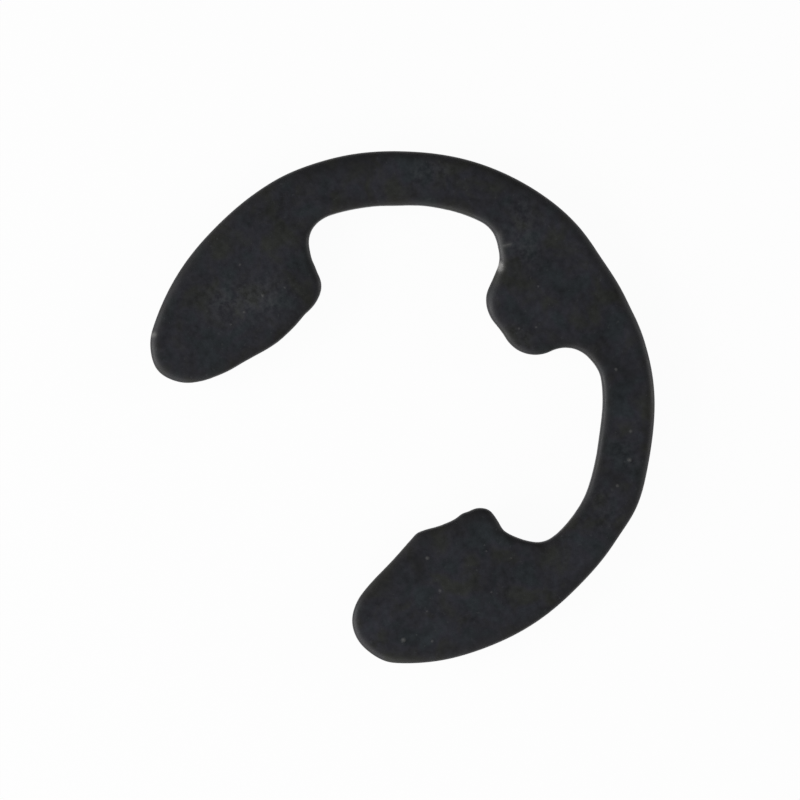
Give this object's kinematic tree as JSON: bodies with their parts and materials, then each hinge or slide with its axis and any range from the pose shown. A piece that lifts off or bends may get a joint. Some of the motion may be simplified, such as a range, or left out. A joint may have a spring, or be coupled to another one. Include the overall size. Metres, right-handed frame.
{
  "type": "e clip",
  "caption": "Flat E-shaped spring steel retaining clip with a centre prong, end prongs and an open mouth, pushed sideways into a shaft groove.",
  "frame": {"origin": "on the axis of the shaft that the clip grips, in the flat face that lies against the groove's wall", "axes": "+Z along the shaft's axis, towards the face with the rolled edges; +Y towards the back of the clip; the mouth opens towards -Y"},
  "size_m": [0.0228, 0.0189, 0.0013],
  "materials": {
    "blackened_steel": "matt black phosphate, lightly oiled"
  },
  "bodies": {
    "root": {"e_clip": "blackened_steel"}
  },
  "joints": []
}
